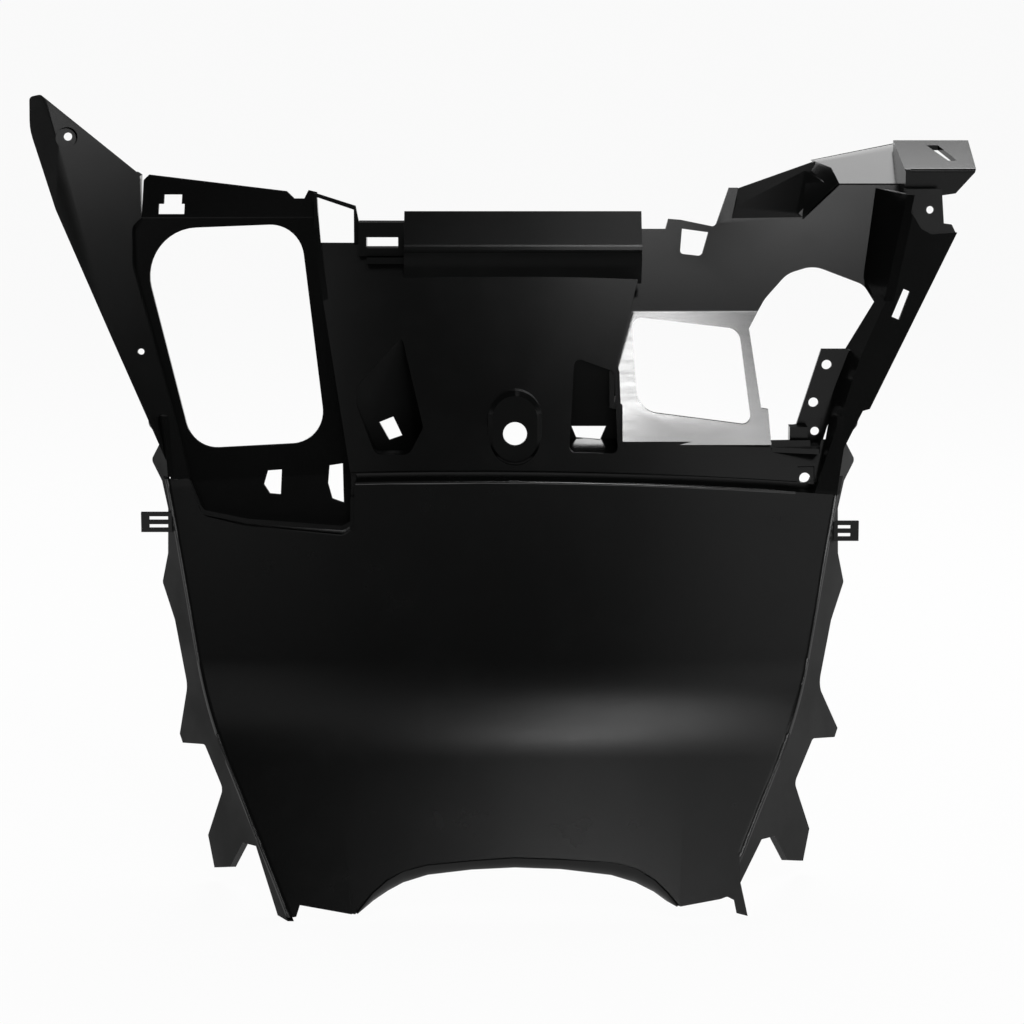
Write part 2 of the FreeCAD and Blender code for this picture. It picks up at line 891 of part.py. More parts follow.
# Scoop in the top of the right wall: a ramp and the slanted cheek on its right.
put("scoop_lean", 40)
put("scoop_foot_z", 103)
sheet.recompute()
scoop_y = back_y + " + (scoop_foot_z - back_fold_z) * tan(back_lean)"
ramp = common(
    "ramp",
    along_x("ramp_skin", 0, 260, [
        (scoop_y, "scoop_foot_z - joint_inset"),
        (scoop_y + " + 30 * tan(scoop_lean)", "scoop_foot_z + 30"),
        (scoop_y + " + 30 * tan(scoop_lean) + wall / cos(scoop_lean)", "scoop_foot_z + 30"),
        (scoop_y + " + wall / cos(scoop_lean)", "scoop_foot_z - joint_inset"),
    ]),
    along_y("ramp_outline", 0, 140, [
        (110, 101),
        (149, 101),
        (155.5, 130.5),
        (114.5, 117),
    ]),
)
put("scoop_cheek_turn", 0.7)
put("scoop_cheek_rise", 0.575)
sheet.recompute()


def cheek_at(x, z, y):
    """Where the slanted cheek's push starts, for a point that it reaches at depth y."""
    return "%s + scoop_cheek_turn * (%s)" % (x, y), "%s - scoop_cheek_rise * (%s)" % (z, y)


scoop_cheek = cut(
    "scoop_cheek",
    prism("scoop_cheek_sheet", sketch_of("scoop_cheek_strip", "front", [
        cheek_at("148.5", "102.5", scoop_y),
        cheek_at("166", "119.5", scoop_y + " + 6"),
        cheek_at("164.2", "121.3", scoop_y + " + 6"),
        cheek_at("146.7", "104.3", scoop_y),
    ]), ("-scoop_cheek_turn", 1, "scoop_cheek_rise"), 75, 125),
    along_x("scoop_back_space", 0, 260, [
        (scoop_y + " + joint_inset", "scoop_foot_z"),
        (scoop_y + " + 60 * tan(scoop_lean) + joint_inset", "scoop_foot_z + 60"),
        (160, "scoop_foot_z + 60"),
        (160, "scoop_foot_z"),
    ]),
    right_front_space,
)

# Cheek between the middle panel's right edge and the right wall.
right_cheek = cut("right_cheek", along_y("right_cheek_strip", -40, 90, [
    (64, 98),
    (64, 81),
    (50, 29),
    (50, 14),
    (54, 13),
    (54, -6),
    (51.5, -6),
    (51.5, 11),
    (47.5, 12),
    (47.5, 29.3),
    (61.5, 81.3),
    (61.5, 98),
]), mid_front_space, right_back_space)

# Right arm: the narrow counterpart of the wing, with its slot.
arm_skin = along_x("arm_skin", 120, 260, [
    (sloped("edge_y", "edge_lean", "-34"), "-34"),
    (sloped("edge_y", "edge_lean", "120"), "120"),
    (sloped("edge_y", "edge_lean", "120") + " + wall", "120"),
    (sloped("edge_y", "edge_lean", "-34") + " + wall", "-34"),
])
arm = common("arm", arm_skin, along_y("arm_outline", -60, 60, [
    (220.5, 99.5),
    (177.3, 12.5),
    (173.8, 11.5),
    (164.4, -7),
    (160.5, -33),
    (148.5, -33),
    (151, -25.5),
    (161.5, 5.5),
    (172.5, 38),
    (186, 68),
    (196, 111),
    (199, 107.5),
    (202.5, 101.5, 2),
    (208, 98.5, 2),
], [
    (193.8, 71.8),
    (197, 70.5),
    (191.6, 56.5),
    (187.9, 58),
]))
arm_front_space = along_x("arm_front_space", 120, 260, [
    (sloped("edge_y", "edge_lean", "-60"), "-60"),
    (sloped("edge_y", "edge_lean", "140"), "140"),
    (-80, "140"),
    (-80, "-60"),
])


def ridge_x(x, z):
    return "%s + inner_flare * (%s)" % (x, sloped("edge_y", "edge_lean", z))


inner_strip = sketch_of("inner_strip", "front", [
    (ridge_x("149.5", "-29"), -29),
    (ridge_x("161.5", "5.5"), 5.5),
    (ridge_x("172.5", "38"), 38),
    (ridge_x("186", "68"), 68),
    (ridge_x("197", "118"), 118),
    (ridge_x("199.6", "118"), 118),
    (ridge_x("188.7", "67.2"), 67.2),
    (ridge_x("175.2", "37.2"), 37.2),
    (ridge_x("164.2", "5"), 5),
    (ridge_x("152.2", "-29"), -29),
])
inner_depth = along_x("inner_depth", 100, 260, [
    (-40, -30),
    (5, -30),
    (24, -14),
    (28, 40),
    (22, 64),
    (64, 82),
    (110, 100),
    (110, 125),
    (-40, 125),
])
inner_wall = cut(
    "inner_wall",
    common("inner_sheet", prism("inner_push", inner_strip, ("-inner_flare", 1, 0), -40, 90), inner_depth),
    arm_front_space,
    right_back_space,
)

# Flat along the upper ridge, where the arm's face meets the inner wall.
ridge_flat = prism("ridge_flat", sketch_of("ridge_plan", "plan", [
    ("ridge_foot_x + ridge_chamfer", "edge_y"),
    ("ridge_foot_x - inner_flare * ridge_chamfer", "edge_y + ridge_chamfer"),
    ("ridge_foot_x - ridge_chamfer", "edge_y - ridge_chamfer"),
]), ("ridge_slope", "tan(edge_lean)", 1), 68, 124)

# Screw bracket inside the arm and the shelf under it.
bracket = along_y("bracket", "bracket_y", "bracket_y + wall", [
    (154.5, 40),
    (168, 40),
    (172, 36),
    (158, 0),
    (154, -14),
    (140, -10),
    (139.5, 1),
    (142.5, 1.5),
])
shelf = along_z("shelf", -10, "-10 + wall", [
    (129, 5),
    (152, -2),
    (156, "bracket_y + wall"),
    (137, "bracket_y + wall"),
])
bracket_rest = along_y("bracket_rest", "bracket_y - 9", "bracket_y + joint_inset", [
    (138.5, 1.5),
    (147.5, 1.5),
    (147.5, -8.5),
    (138.5, -8.5),
])

# Corner block at the end of the right wall, its flat top, and the plate below it.
block_skin = along_x("block_skin", 180, 260, [
    (40, 112),
    (40, 129.3, 2),
    (96, 140.5),
    (96.5, 138),
    (42.5, 127.2),
    (42.5, 112),
])
block = common("block", block_skin, along_y("block_outline", -60, 140, [
    (197.5, 142),
    (237, 142),
    (232.5, 127.5),
    (223, 117),
    (216, 116),
    (200.5, 118.5),
    (197, 129.5),
]))
block_side = along_x("block_side", 197.5, "197.5 + wall", [
    (40, 117),
    (40, 129),
    (96, 140),
    (96, 130),
    (62, 117),
])
notch_skin = along_x("notch_skin", 180, 260, [
    (12, 93),
    (42, 141),
    (45, 141),
    (15, 93),
])
notch_plate = common("notch_plate", notch_skin, along_y("notch_outline", -60, 90, [
    (196, 120),
    (214.5, 120),
    (214.5, 103.5),
    (218.5, 103),
    (220.5, 98.5),
    (196, 98.5),
]))

# Loop and clip block at the top left of the middle panel.
clip_block = along_y("clip_block", 32, 44, [
    (-79, 86),
    (-56, 86),
    (-56, 103),
    (-79, 103),
])
clip_ledge = along_y("clip_ledge", 29, 34, [
    (-74.8, 85.6),
    (-55.6, 85.6),
    (-55.6, 82.4),
    (-74.8, 82.4),
])
loop = along_y("loop", 37, "37 + 3", [
    (-101.5, 117.5),
    (-80.5, 110.8),
    (-79, 103),
    (-79, 92),
    (-81.5, 92),
    (-81.5, 109),
    (-100, 115.3),
    (-99, 92),
    (-102, 92),
])

lower_walls = fuse("lower_walls", panel, right_foot, groove, left_side, right_side, tongues, recess_floor)
middle_walls = fuse(
    "middle_walls", mid, wedge, slot_cup, slot_sill, boss_cup, boss_skirt, lip, clip_block, clip_ledge,
)
left_walls = fuse("left_walls", frame, left_cheek, wing, wing_step, loop)
right_walls = fuse(
    "right_walls", right_wall, ramp, scoop_cheek, right_cheek, arm, inner_wall, bracket, bracket_rest,
    shelf, block, block_side, notch_plate,
)
walls = fuse("walls", lower_walls, middle_walls, left_walls, right_walls)

# Holes that go straight through.
bolt_circle = circle_sketch("bolt_circle", "0", "0", "bolt_hole_radius")
bolt_hole = prism("bolt_hole", bolt_circle, (0, 1, 0), -40, 60)
wedge_hole = along_y("wedge_hole", -40, 60, [
    (-68.5, 3.5),
    (-61.5, 6),
    (-57, -4),
    (-63.5, -6),
])
slot_hole = along_y("slot_hole", -40, 60, [
    (28.5, 1.5),
    (46, 1.5),
    (43, -5.5),
    (31, -4.5),
])
clip_hole = along_y("clip_hole", -40, 80, [
    (-75, 90),
    (-59, 90),
    (-59, 95.5),
    (-75, 95.5),
])
block_slot = along_z("block_slot", 120, 145, [
    (213.5, 86),
    (219.5, 86),
    (225.5, 56),
    (221, 56),
])
bracket_sunk = along_y("bracket_sunk", "bracket_y - 17", "bracket_y + joint_inset", [
    (148.5, 5),
    (155.5, 5),
    (153.5, -7.3),
    (148.5, -7.3),
])
bar_sunk = common("bar_sunk", mid_front_space, along_y("bar_sunk_outline", -40, 40, [
    (141.8, -17),
    (150.3, -17),
    (150.3, -26.5),
    (141.8, -26.5),
]))
round_holes = []
for name, x, z, r, low, high in (
    ("bracket_hole_upper", 157.4, 32, 2.5, 15, 40),
    ("bracket_hole_middle", 151, 12.8, 2.5, 15, 40),
    ("bracket_hole_lower", 152, -2, 2.2, 15, 40),
    ("bar_hole", 145.5, -23, 2.8, -20, 30),
    ("notch_hole", 208, 110, 1.9, 0, 50),
    ("wing_hole", -224.5, 146, 2, 0, 60),
    ("wing_peg_hole", -187.4, 40, 1.6, -10, 40),
):
    round_holes.append(prism(name, circle_sketch(name + "_front", x, z, r), (0, 1, 0), low, high))

cover = cut(
    "cover", walls, ridge_flat, bolt_hole, wedge_hole, slot_hole, clip_hole, block_slot, bracket_sunk,
    bar_sunk, *round_holes,
)
cover.Label = "center_inner_cover"
doc.recompute()

failed = [thing.Name for thing in doc.Objects if "Invalid" in thing.State or "Error" in thing.State]
if failed:
    raise RuntimeError("not built: %s" % ", ".join(failed))
shape = cover.Shape
if shape.isNull() or not shape.isValid():
    raise RuntimeError("the cover is not a valid shape")
if len(shape.Solids) != 1:
    places = ["%.0f mm3 at %s" % (solid.Volume, solid.BoundBox) for solid in shape.Solids]
    raise RuntimeError("the cover came out in pieces: %s" % "; ".join(places))
os.makedirs("parts", exist_ok=True)
shape.Solids[0].exportStep("parts/%s.step" % cover.Label)
print("volume %.0f mm3, box %s" % (shape.Volume, shape.BoundBox))
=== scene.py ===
"""Looks of a moulded scooter inner cover: black plastic in four finishes under soft studio light, two of
which paint in highlight and shade by a stronger and a weaker reflection.
"""
import math

import bpy
from bpy.props import FloatProperty, FloatVectorProperty, IntProperty, PointerProperty
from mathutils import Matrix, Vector


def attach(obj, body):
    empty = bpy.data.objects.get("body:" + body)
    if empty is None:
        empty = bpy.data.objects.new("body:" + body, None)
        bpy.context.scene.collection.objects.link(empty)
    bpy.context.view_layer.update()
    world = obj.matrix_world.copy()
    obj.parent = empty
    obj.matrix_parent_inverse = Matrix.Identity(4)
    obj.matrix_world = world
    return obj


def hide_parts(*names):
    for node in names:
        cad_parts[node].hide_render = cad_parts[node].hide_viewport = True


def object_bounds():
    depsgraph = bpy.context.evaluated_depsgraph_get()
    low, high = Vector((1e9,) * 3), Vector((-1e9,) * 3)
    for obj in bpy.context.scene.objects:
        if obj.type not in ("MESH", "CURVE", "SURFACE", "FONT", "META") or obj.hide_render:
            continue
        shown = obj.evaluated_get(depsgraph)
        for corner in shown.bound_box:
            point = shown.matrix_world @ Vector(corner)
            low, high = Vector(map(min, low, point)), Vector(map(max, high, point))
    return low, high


bl_info = {
    "name": "Scooter inner cover",
    "version": (1, 0, 0),
    "blender": (4, 5, 0),
    "location": "3D View > Sidebar > Cover",
    "description": "Finishes the moulded inner cover of a scooter and sets up its studio",
    "category": "Object",
}

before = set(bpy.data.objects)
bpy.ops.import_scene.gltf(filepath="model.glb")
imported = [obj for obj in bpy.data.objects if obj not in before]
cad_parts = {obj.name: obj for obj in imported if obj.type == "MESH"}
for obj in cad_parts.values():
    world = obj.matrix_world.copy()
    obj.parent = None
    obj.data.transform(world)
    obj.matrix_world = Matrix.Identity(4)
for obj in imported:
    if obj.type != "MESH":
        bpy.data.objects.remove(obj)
CAD_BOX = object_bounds()
COVER_NODE = "center_inner_cover"

PLASTIC_IOR = 1.5
MERGE_DISTANCE = 0.00001

# The panels are crowned about one far upright axis. Heights in metres, with the lean of the face there.
CROWN_AXIS = Vector((-0.006, 1.6, 0.0))
CROWNED_FACES = (
    (-0.035, 0.110, math.radians(20.0)),
    (-0.108, -0.020, math.radians(18.0)),
    (-0.230, -0.150, math.radians(42.0)),
    (-0.230, -0.150, math.radians(41.36)),
)
BEND_LOW, BEND_HIGH = -0.1511, -0.1072
BEND_CENTRE_DEPTH, BEND_CENTRE_HEIGHT = -0.1535, -0.0705
PANEL_WALL = 0.0032
CROWN_TOLERANCE = math.radians(4.0)

# Face of the sloping ring round the right window.
RING_NORMAL = Vector((0.0, -math.cos(math.radians(31.1)), math.sin(math.radians(31.1))))
RING_LOW, RING_HIGH = Vector((0.045, -0.02, -0.012)), Vector((0.132, 0.06, 0.060))
RING_LIKENESS = 0.995

# The flared sides lie below this height and further out than this, and face this much sideways.
SIDE_TOP, SIDE_INNER, SIDE_TURN = -0.02, 0.09, 0.8

# The middle panel between the left frame and the right window. Its pockets hardly face upwards.
MIDDLE_LEFT, MIDDLE_RIGHT, MIDDLE_LOW, MIDDLE_HIGH = -0.11, 0.066, -0.018, 0.11
POCKET_RISE, POCKET_FRONT = 0.12, -0.4

# Folds below this angle are shaded as one smooth surface, where large faces lead by this weight.
SMOOTH_ANGLE = math.radians(40)
FLAT_WEIGHT = 90

# Round on the edges of a thin sheet, as a share of its wall.
THIN_ROUND = 0.3

# Corners of the web that closes the right end of the scoop, in order round its edge.
SCOOP_WEB = (
    (0.1474, 0.0568, 0.1030),
    (0.1664, 0.0626, 0.1203),
    (0.1632, 0.0722, 0.1276),
    (0.1545, 0.0845, 0.1308),
    (0.1490, 0.0680, 0.1165),
)

# Edge of the arch in the panel's foot, from left to right, with how far its lip hangs below it.
ARCH_EDGE = (
    (-0.0755, -0.1174, -0.2124, 0.0004),
    (-0.0683, -0.1110, -0.2048, 0.0038),
    (-0.0614, -0.1068, -0.1997, 0.0054),
    (-0.0540, -0.1039, -0.1962, 0.0056),
    (-0.0421, -0.1018, -0.1935, 0.0050),
    (-0.0210, -0.1006, -0.1917, 0.0045),
    (0.0000, -0.0996, -0.1905, 0.0050),
    (0.0221, -0.1000, -0.1912, 0.0050),
    (0.0464, -0.1006, -0.1926, 0.0066),
    (0.0579, -0.1023, -0.1950, 0.0074),
    (0.0669, -0.1060, -0.1997, 0.0062),
    (0.0729, -0.1102, -0.2047, 0.0044),
    (0.0776, -0.1143, -0.2096, 0.0006),
)
# How far down and how far back the lip's rows lie, as shares of that drop, from its rim to the edge.
ARCH_ROLL = ((1.0, 0.45), (0.45, 0.08), (0.0, 0.0))
ARCH_PROUD_FRONT, ARCH_PROUD_TOP = 0.0001, 0.0002

# Top edge of the grained panel at its peak, and the bead that rounds it.
PANEL_TOP_DEPTH, PANEL_TOP_HEIGHT, PANEL_TOP_LEAN = -0.0116, -0.0221, math.radians(18.0)
BEAD_LEFT, BEAD_RIGHT, BEAD_STEPS = -0.0795, 0.1400, 24

# Half of the height over which the grain turns into the satin finish.
SEAM_BLUR = 0.001

# Points that the soft lights face: the ring, the panel's bend, the scoop, the lip and the wing.
RING, BEND = (0.09, 0.02, 0.03), (0.05, -0.05, -0.13)
SCOOP, LIP, WING = (0.12, 0.07, 0.12), (0.05, 0.03, 0.1), (-0.2, 0.0, 0.1)

# Each soft light: name, place, the point that it faces, width, height, its setting and its share of it.
LIGHTS = (
    ("key_softbox", (0.14, -1.18, 1.75), RING, 0.17, 0.17, "key_power", 1.0),
    ("window_softbox", (0.275, -1.395, 1.465), BEND, 0.33, 0.63, "window_power", 1.0),
    ("top_light", (0.10, 0.95, 1.20), RING, 1.1, 0.8, "top_power", 1.0),
    ("fill_right", (0.74, -1.75, 0.85), BEND, 0.66, 0.58, "fill_power", 1.0),
    ("fill_overhead", (0.72, -0.80, 1.55), BEND, 0.5, 0.6, "fill_power", 1.0),
    ("fill_back", (0.20, 1.50, 1.10), RING, 1.0, 0.5, "fill_power", 1.9),
    ("fill_scoop", (0.26, -0.38, 1.86), SCOOP, 0.16, 0.3, "fill_power", 0.12),
    ("fill_lip", (0.135, -0.77, 1.82), LIP, 0.09, 0.2, "fill_power", 0.2),
    ("fill_left", (-0.61, -1.61, 1.21), BEND, 0.44, 1.0, "fill_power", 0.65),
    ("wing_light", (1.16, -0.94, 1.42), WING, 0.4, 0.45, "fill_power", 1.8),
    ("side_right", (1.40, -0.40, 0.10), BEND, 0.4, 0.4, "side_power", 1.0),
    ("side_rear", (1.30, 0.60, 0.10), BEND, 0.4, 0.4, "side_power", 1.0),
    ("side_left", (-1.45, -0.40, 0.05), BEND, 0.4, 0.4, "side_power", 0.4),
)
FLOOR_SIZE, FLOOR_GAP = 80.0, 0.0005
SENSOR_WIDTH, VIEW_DEPTH = 36.0, 200.0


class CoverMouldingSettings(bpy.types.PropertyGroup):
    """Sizes and colours of the moulded plastic."""

    edge_round: FloatProperty(
        name="Edge round",
        description="Width of the small round that the mould leaves on every edge",
        default=0.0005,
        min=0.0,
        unit="LENGTH",
    )
    edge_steps: IntProperty(
        name="Edge steps",
        description="Faces across one rounded edge",
        default=2,
        min=1,
        max=4,
    )
    edge_angle: FloatProperty(
        name="Edge angle",
        description="Folds sharper than this are rounded as edges",
        default=math.radians(28),
        subtype="ANGLE",
    )
    flat_angle: FloatProperty(
        name="Flat angle",
        description="Neighbouring faces that turn less than this become one face",
        default=math.radians(0.6),
        subtype="ANGLE",
    )
    plastic: FloatVectorProperty(
        name="Plastic",
        description="Colour of the black plastic",
        default=(0.003, 0.0032, 0.0031),
        size=3,
        min=0.0,
        max=1.0,
        subtype="COLOR",
    )
    plastic_worn: FloatVectorProperty(
        name="Rubbed plastic",
        description="Colour where the plastic is dusty or rubbed",
        default=(0.0065, 0.0068, 0.0066),
        size=3,
        min=0.0,
        max=1.0,
        subtype="COLOR",
    )
    satin: FloatProperty(
        name="Satin roughness",
        description="Roughness of the smooth upper faces",
        default=0.19,
        min=0.0,
        max=1.0,
        subtype="FACTOR",
    )
    grained: FloatProperty(
        name="Grain roughness",
        description="Roughness of the grained lower panel",
        default=0.25,
        min=0.0,
        max=1.0,
        subtype="FACTOR",
    )
    grain_size: FloatProperty(
        name="Grain size",
        description="Distance between the pits of the moulded grain",
        default=0.0009,
        min=0.0001,
        unit="LENGTH",
    )
    grain_depth: FloatProperty(
        name="Grain depth",
        description="Depth of the moulded grain",
        default=0.00004,
        min=0.0,
        unit="LENGTH",
    )
    seam_height: FloatProperty(
        name="Seam height",
        description="Height of the groove between the grained and the satin faces, at its peak",
        default=-0.0205,
        unit="LENGTH",
    )
    seam_peak: FloatProperty(
        name="Seam peak",
        description="Sideways place of the groove's highest point",
        default=-0.018,
        unit="LENGTH",
    )
    seam_radius: FloatProperty(
        name="Seam radius",
        description="Radius of the groove's long arc",
        default=2.04,
        unit="LENGTH",
    )


class CoverTrimSettings(bpy.types.PropertyGroup):
    """Sizes of the thin web, the arch's lip and the bead along the seam."""

    thin_wall: FloatProperty(
        name="Thin wall",
        description="Thickness of the scoop's web and of the arch's lip",
        default=0.0016,
        min=0.0002,
        unit="LENGTH",
    )
    bead_radius: FloatProperty(
        name="Bead radius",
        description="Radius of the round along the top edge of the grained panel",
        default=0.0012,
        min=0.0002,
        unit="LENGTH",
    )
    bead_inset: FloatProperty(
        name="Bead inset",
        description="From that edge to the middle of its round, back and down",
        default=0.00078,
        min=0.0,
        unit="LENGTH",
    )


class CoverStudioSettings(bpy.types.PropertyGroup):
    """Camera, lights and floor."""

    camera_distance: FloatProperty(
        name="Camera distance",
        description="From the camera to the point that it looks at",
        default=1.6,
        unit="LENGTH",
    )
    camera_elevation: FloatProperty(
        name="Camera elevation",
        description="Height of the camera above the level view",
        default=math.radians(10),
        subtype="ANGLE",
    )
    camera_target: FloatVectorProperty(
        name="Camera target",
        description="Point in the middle of the picture",
        default=(-0.0015, -0.00677, -0.03841),
        size=3,
        subtype="XYZ",
    )
    camera_lens: FloatProperty(
        name="Lens",
        description="Focal length on a 36 mm sensor, in millimetres",
        default=112.5,
    )
    floor_colour: FloatVectorProperty(
        name="Floor",
        description="Colour of the pale floor",
        default=(0.82, 0.82, 0.82),
        size=3,
        min=0.0,
        max=1.0,
        subtype="COLOR",
    )
    floor_glow: FloatProperty(
        name="Floor glow",
        description="Share of plain white in the floor, as seen by the camera",
        default=0.95,
        min=0.0,
        max=1.0,
        subtype="FACTOR",
    )
    room_light: FloatProperty(
        name="Room light",
        description="Level of the even light from all sides",
        default=0.05,
        min=0.0,
    )
    key_power: FloatProperty(
        name="Key light",
        description="Power of the small softbox in front and above, in watts",
        default=1.85,
        min=0.0,
    )
    window_power: FloatProperty(
        name="Window light",
        description="Power of the tall softbox in front and to the right, in watts",
        default=4.3,
        min=0.0,
    )
    top_power: FloatProperty(
        name="Top light",
        description="Power of the wide light behind and above, in watts",
        default=17.0,
        min=0.0,
    )
    fill_power: FloatProperty(
        name="Fill light",
        description="Power of the weak lights in front, in watts",
        default=1.3,
        min=0.0,
    )
    side_power: FloatProperty(
        name="Side lights",
        description="Power of the low lights at both sides, in watts",
        default=5.0,
        min=0.0,
    )


def alone(piece):
    """Makes one object the only one selected, and the active one."""
    bpy.ops.object.select_all(action="DESELECT")
    piece.select_set(True)
    bpy.context.view_layer.objects.active = piece


def node_of(tree, kind, name, **values):
    """Adds a shader node, with values for its sockets or settings."""
    made = tree.nodes.new(kind)
    made.label = name
    for key, entry in values.items():
        if key in made.inputs:
            made.inputs[key].default_value = entry
        else:
            setattr(made, key, entry)
    return made


def math_of(tree, operation, first, second, name):
    """A math node between two sockets or numbers."""
    made = node_of(tree, "ShaderNodeMath", name, operation=operation)
    for socket, entry in zip(made.inputs, (first, second)):
        if isinstance(entry, (int, float)):
            socket.default_value = entry
        else:
            tree.links.new(entry, socket)
    return made.outputs[0]


def spread(tree, source, low, high, to_low, to_high, name):
    """Stretches one range of a value onto another, with soft ends."""
    made = node_of(tree, "ShaderNodeMapRange", name, interpolation_type="SMOOTHSTEP")
    tree.links.new(source, made.inputs["Value"])
    sockets = ("From Min", "From Max", "To Min", "To Max")
    for key, entry in zip(sockets, (low, high, to_low, to_high)):
        made.inputs[key].default_value = entry
    return made.outputs["Result"]


def noise(tree, place, scale, detail, roughness, name):
    """Soft noise at one scale over the piece."""
    made = node_of(tree, "ShaderNodeTexNoise", name, Scale=scale, Detail=detail, Roughness=roughness)
    tree.links.new(place, made.inputs["Vector"])
    return made.outputs["Fac"]


def bare_plastic(name, specular):
    """A new plastic, with its shader and the place of each point on its piece."""
    material = bpy.data.materials.new(name)
    material.use_nodes = True
    tree = material.node_tree
    shader = tree.nodes["Principled BSDF"]
    shader.inputs["IOR"].default_value = PLASTIC_IOR
    shader.inputs["Specular IOR Level"].default_value = specular
    place = node_of(tree, "ShaderNodeTexCoord", "Place").outputs["Object"]
    return material, tree, shader, place


def dusty_colour(tree, shader, share, settings):
    """Gives the shader the plastic's colour, and by a share the rubbed one."""
    tint = node_of(tree, "ShaderNodeMix", "Dusty colour", data_type="RGBA")
    tint.inputs[6].default_value = (*settings.plastic, 1.0)
    tint.inputs[7].default_value = (*settings.plastic_worn, 1.0)
    tree.links.new(share, tint.inputs[0])
    tree.links.new(tint.outputs[2], shader.inputs["Base Color"])


def black_plastic(settings):
    """Black moulded plastic: satin above the seam groove, fine grain below it."""
    material, tree, shader, place = bare_plastic("black_moulded_plastic", 0.25)
    axes = node_of(tree, "ShaderNodeSeparateXYZ", "Axes")
    tree.links.new(place, axes.inputs[0])
    sideways = math_of(tree, "SUBTRACT", axes.outputs["X"], settings.seam_peak, "From the peak")
    square = math_of(tree, "MULTIPLY", sideways, sideways, "Square")
    sag = math_of(tree, "DIVIDE", square, 2 * settings.seam_radius, "Sag of the seam")
    height = math_of(tree, "ADD", axes.outputs["Z"], sag, "Height along the seam")
    low, high = settings.seam_height - SEAM_BLUR, settings.seam_height + SEAM_BLUR
    below = spread(tree, height, low, high, 1.0, 0.0, "Grained")

    cloud = noise(tree, place, 9.0, 3.0, 0.5, "Uneven sheen")
    smear = noise(tree, place, 60.0, 4.0, 0.6, "Handling marks")
    dust = noise(tree, place, 900.0, 2.0, 0.6, "Dust")

    satin, grained = settings.satin, settings.grained
    finish = spread(tree, below, 0.0, 1.0, satin, grained, "Roughness of both finishes")
    uneven = spread(tree, cloud, 0.3, 0.7, -0.012, 0.016, "Uneven roughness")
    marks = spread(tree, smear, 0.45, 0.75, 0.0, 0.02, "Marks in the sheen")
    roughness = math_of(tree, "ADD", math_of(tree, "ADD", finish, uneven, "Uneven"), marks, "Marked")
    tree.links.new(roughness, shader.inputs["Roughness"])

    specks = spread(tree, dust, 0.62, 0.78, 0.0, 0.5, "Dust specks")
    veil = spread(tree, cloud, 0.45, 0.8, 0.0, 0.35, "Faint veil")
    dusty_colour(tree, shader, math_of(tree, "MAXIMUM", specks, veil, "Dust and veil"), settings)

    pits = node_of(tree, "ShaderNodeTexVoronoi", "Pits", Scale=1.0 / settings.grain_size)
    tree.links.new(place, pits.inputs["Vector"])
    pitted = math_of(tree, "MULTIPLY", pits.outputs["Distance"], below, "Pits of the grain")
    ripple = noise(tree, place, 240.0, 2.0, 0.5, "Ripple of the mould")
    weak = math_of(tree, "MULTIPLY", ripple, 0.25, "Weak ripple")
    relief = math_of(tree, "ADD", pitted, weak, "Relief")
    depth = settings.grain_depth
    bump = node_of(tree, "ShaderNodeBump", "Moulded surface", Strength=0.35, Distance=depth)
    tree.links.new(relief, bump.inputs["Height"])
    tree.links.new(bump.outputs["Normal"], shader.inputs["Normal"])
    return material


def matt_plastic_painted_shade(settings):
    """The same black plastic on the sides and in the recesses, rough and lightly dusty, with its
    reflection turned down so that it paints in the shade there.
    """
    material, tree, shader, place = bare_plastic("black_matt_plastic", 0.08)
    dull = noise(tree, place, 25.0, 4.0, 0.6, "Dull patches")
    dusty_colour(tree, shader, spread(tree, dull, 0.4, 0.75, 0.0, 0.8, "Dust"), settings)
    roughness = spread(tree, dull, 0.3, 0.7, 0.48, 0.60, "Dull sheen")
    tree.links.new(roughness, shader.inputs["Roughness"])
    return material


def polished_plastic_painted_highlight(settings):
    """The same black plastic, smoother and with a stronger reflection that paints a bright highlight
    where it catches the lamps, with faint rubbed streaks.
    """
    material, tree, shader, place = bare_plastic("black_polished_plastic", 0.8)
    shader.inputs["Base Color"].default_value = (*settings.plastic, 1.0)
    stretch = node_of(tree, "ShaderNodeMapping", "Along the ring", Scale=(1.0, 6.0, 6.0))
    tree.links.new(place, stretch.inputs["Vector"])
    streaks = noise(tree, stretch.outputs["Vector"], 40.0, 4.0, 0.6, "Rubbed streaks")
    smooth, rubbed = settings.satin - 0.07, settings.satin - 0.02
    roughness = spread(tree, streaks, 0.3, 0.7, smooth, rubbed, "Polished sheen")
    tree.links.new(roughness, shader.inputs["Roughness"])
    return material


